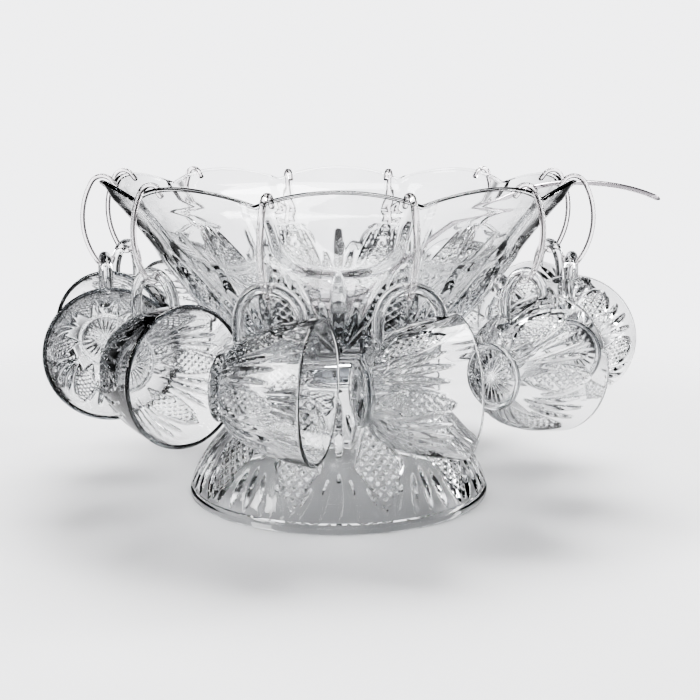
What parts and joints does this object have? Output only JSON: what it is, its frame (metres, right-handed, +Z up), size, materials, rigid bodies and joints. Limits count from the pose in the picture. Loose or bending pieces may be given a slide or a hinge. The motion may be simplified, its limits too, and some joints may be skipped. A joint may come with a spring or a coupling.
{
  "type": "punch bowl",
  "caption": "Pressed-glass punch bowl on a bell-shaped stand, with handled cups hung round its scalloped rim on clear hooks and a ladle in the bowl.",
  "frame": {"origin": "on the table, under the centre of the stand", "axes": "+Z up, front towards -Y, the ladle's handle towards +X"},
  "size_m": [0.4282, 0.4038, 0.2256],
  "materials": {
    "bowl_glass": "pressed and fire-polished",
    "stand_glass": "pressed and fire-polished",
    "cup_glass": "pressed and fire-polished",
    "hook_plastic": "clear moulded",
    "ladle_plastic": "clear moulded"
  },
  "bodies": {
    "stand": {"pedestal_base": "stand_glass"},
    "bowl": {"bowl": "bowl_glass"},
    "ladle": {"ladle": "ladle_plastic"},
    "hook_01": {"hook_01": "hook_plastic"},
    "hook_02": {"hook_02": "hook_plastic"},
    "hook_03": {"hook_03": "hook_plastic"},
    "hook_04": {"hook_04": "hook_plastic"},
    "hook_05": {"hook_05": "hook_plastic"},
    "hook_06": {"hook_06": "hook_plastic"},
    "hook_07": {"hook_07": "hook_plastic"},
    "hook_08": {"hook_08": "hook_plastic"},
    "hook_09": {"hook_09": "hook_plastic"},
    "hook_10": {"hook_10": "hook_plastic"},
    "hook_11": {"hook_11": "hook_plastic"},
    "hook_12": {"hook_12": "hook_plastic"},
    "cup_01": {"cup_01": "cup_glass"},
    "cup_02": {"cup_02": "cup_glass"},
    "cup_03": {"cup_03": "cup_glass"},
    "cup_04": {"cup_04": "cup_glass"},
    "cup_05": {"cup_05": "cup_glass"},
    "cup_06": {"cup_06": "cup_glass"},
    "cup_07": {"cup_07": "cup_glass"},
    "cup_08": {"cup_08": "cup_glass"},
    "cup_09": {"cup_09": "cup_glass"},
    "cup_10": {"cup_10": "cup_glass"},
    "cup_11": {"cup_11": "cup_glass"},
    "cup_12": {"cup_12": "cup_glass"}
  },
  "joints": [
    {"name": "bowl_lift", "type": "slide", "parent": "stand", "child": "bowl", "axis": [0, 0, 1], "range_m": [0, 0.12]},
    {"name": "ladle_lift", "type": "slide", "parent": "bowl", "child": "ladle", "axis": [0, 0, 1], "range_m": [0, 0.15]},
    {"name": "hook_01_swing", "type": "hinge", "parent": "bowl", "child": "hook_01", "pos_m": [0.04057, -0.15143, 0.21064], "axis": [-0.9659, -0.2588, 0], "range_deg": [-8, 8]},
    {"name": "hook_02_swing", "type": "hinge", "parent": "bowl", "child": "hook_02", "pos_m": [0.11237, -0.11237, 0.2144], "axis": [-0.7071, -0.7071, 0], "range_deg": [-8, 8]},
    {"name": "hook_03_swing", "type": "hinge", "parent": "bowl", "child": "hook_03", "pos_m": [0.15447, -0.04139, 0.21616], "axis": [-0.2588, -0.9659, 0], "range_deg": [-8, 8]},
    {"name": "hook_04_swing", "type": "hinge", "parent": "bowl", "child": "hook_04", "pos_m": [0.15447, 0.04139, 0.21616], "axis": [0.2588, -0.9659, 0], "range_deg": [-8, 8]},
    {"name": "hook_05_swing", "type": "hinge", "parent": "bowl", "child": "hook_05", "pos_m": [0.11237, 0.11237, 0.2144], "axis": [0.7071, -0.7071, 0], "range_deg": [-8, 8]},
    {"name": "hook_06_swing", "type": "hinge", "parent": "bowl", "child": "hook_06", "pos_m": [0.04057, 0.15143, 0.21064], "axis": [0.9659, -0.2588, 0], "range_deg": [-8, 8]},
    {"name": "hook_07_swing", "type": "hinge", "parent": "bowl", "child": "hook_07", "pos_m": [-0.04057, 0.15143, 0.21064], "axis": [0.9659, 0.2588, 0], "range_deg": [-8, 8]},
    {"name": "hook_08_swing", "type": "hinge", "parent": "bowl", "child": "hook_08", "pos_m": [-0.11237, 0.11237, 0.2144], "axis": [0.7071, 0.7071, 0], "range_deg": [-8, 8]},
    {"name": "hook_09_swing", "type": "hinge", "parent": "bowl", "child": "hook_09", "pos_m": [-0.15447, 0.04139, 0.21616], "axis": [0.2588, 0.9659, 0], "range_deg": [-8, 8]},
    {"name": "hook_10_swing", "type": "hinge", "parent": "bowl", "child": "hook_10", "pos_m": [-0.15447, -0.04139, 0.21616], "axis": [-0.2588, 0.9659, 0], "range_deg": [-8, 8]},
    {"name": "hook_11_swing", "type": "hinge", "parent": "bowl", "child": "hook_11", "pos_m": [-0.11237, -0.11237, 0.2144], "axis": [-0.7071, 0.7071, 0], "range_deg": [-8, 8]},
    {"name": "hook_12_swing", "type": "hinge", "parent": "bowl", "child": "hook_12", "pos_m": [-0.04057, -0.15143, 0.21064], "axis": [-0.9659, 0.2588, 0], "range_deg": [-8, 8]},
    {"name": "cup_01_swing", "type": "hinge", "parent": "hook_01", "child": "cup_01", "pos_m": [0.04057, -0.15143, 0.16564], "axis": [-0.9659, -0.2588, 0], "range_deg": [-10, 25]},
    {"name": "cup_02_swing", "type": "hinge", "parent": "hook_02", "child": "cup_02", "pos_m": [0.11237, -0.11237, 0.1694], "axis": [-0.7071, -0.7071, 0], "range_deg": [-10, 25]},
    {"name": "cup_03_swing", "type": "hinge", "parent": "hook_03", "child": "cup_03", "pos_m": [0.15447, -0.04139, 0.17116], "axis": [-0.2588, -0.9659, 0], "range_deg": [-10, 25]},
    {"name": "cup_04_swing", "type": "hinge", "parent": "hook_04", "child": "cup_04", "pos_m": [0.15447, 0.04139, 0.17116], "axis": [0.2588, -0.9659, 0], "range_deg": [-10, 25]},
    {"name": "cup_05_swing", "type": "hinge", "parent": "hook_05", "child": "cup_05", "pos_m": [0.11237, 0.11237, 0.1694], "axis": [0.7071, -0.7071, 0], "range_deg": [-10, 25]},
    {"name": "cup_06_swing", "type": "hinge", "parent": "hook_06", "child": "cup_06", "pos_m": [0.04057, 0.15143, 0.16564], "axis": [0.9659, -0.2588, 0], "range_deg": [-10, 25]},
    {"name": "cup_07_swing", "type": "hinge", "parent": "hook_07", "child": "cup_07", "pos_m": [-0.04057, 0.15143, 0.16564], "axis": [0.9659, 0.2588, 0], "range_deg": [-10, 25]},
    {"name": "cup_08_swing", "type": "hinge", "parent": "hook_08", "child": "cup_08", "pos_m": [-0.11237, 0.11237, 0.1694], "axis": [0.7071, 0.7071, 0], "range_deg": [-10, 25]},
    {"name": "cup_09_swing", "type": "hinge", "parent": "hook_09", "child": "cup_09", "pos_m": [-0.15447, 0.04139, 0.17116], "axis": [0.2588, 0.9659, 0], "range_deg": [-10, 25]},
    {"name": "cup_10_swing", "type": "hinge", "parent": "hook_10", "child": "cup_10", "pos_m": [-0.15447, -0.04139, 0.17116], "axis": [-0.2588, 0.9659, 0], "range_deg": [-10, 25]},
    {"name": "cup_11_swing", "type": "hinge", "parent": "hook_11", "child": "cup_11", "pos_m": [-0.11237, -0.11237, 0.1694], "axis": [-0.7071, 0.7071, 0], "range_deg": [-10, 25]},
    {"name": "cup_12_swing", "type": "hinge", "parent": "hook_12", "child": "cup_12", "pos_m": [-0.04057, -0.15143, 0.16564], "axis": [-0.9659, 0.2588, 0], "range_deg": [-10, 25]}
  ]
}
